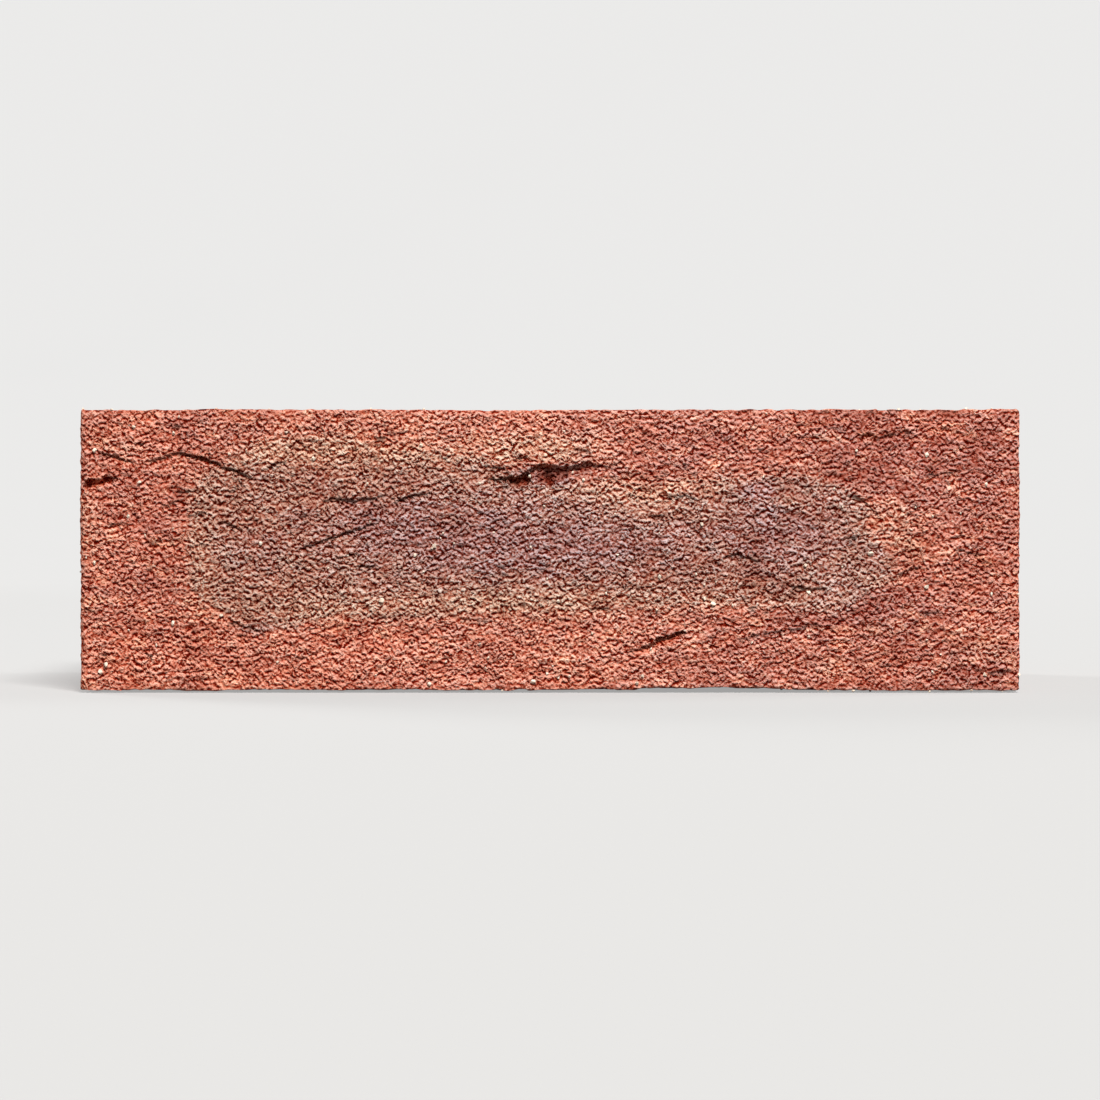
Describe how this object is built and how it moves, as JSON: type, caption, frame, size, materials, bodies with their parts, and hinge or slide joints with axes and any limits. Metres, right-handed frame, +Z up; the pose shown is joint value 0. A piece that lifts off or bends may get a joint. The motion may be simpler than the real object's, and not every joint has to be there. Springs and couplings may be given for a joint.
{
  "type": "clay brick",
  "caption": "Rectangular fired clay facing brick with round vertical perforations and a torn rustic skin, one unit of mortared walling.",
  "frame": {"origin": "middle of the lower bed's outline, on the floor that the brick lies on", "axes": "+X along the brick's length, +Y from the front stretcher face to the back one, +Z up through the height, along the perforations"},
  "size_m": [0.215, 0.1024, 0.065],
  "materials": {
    "fired_clay": "matte"
  },
  "bodies": {
    "root": {"brick": "fired_clay"}
  },
  "joints": []
}
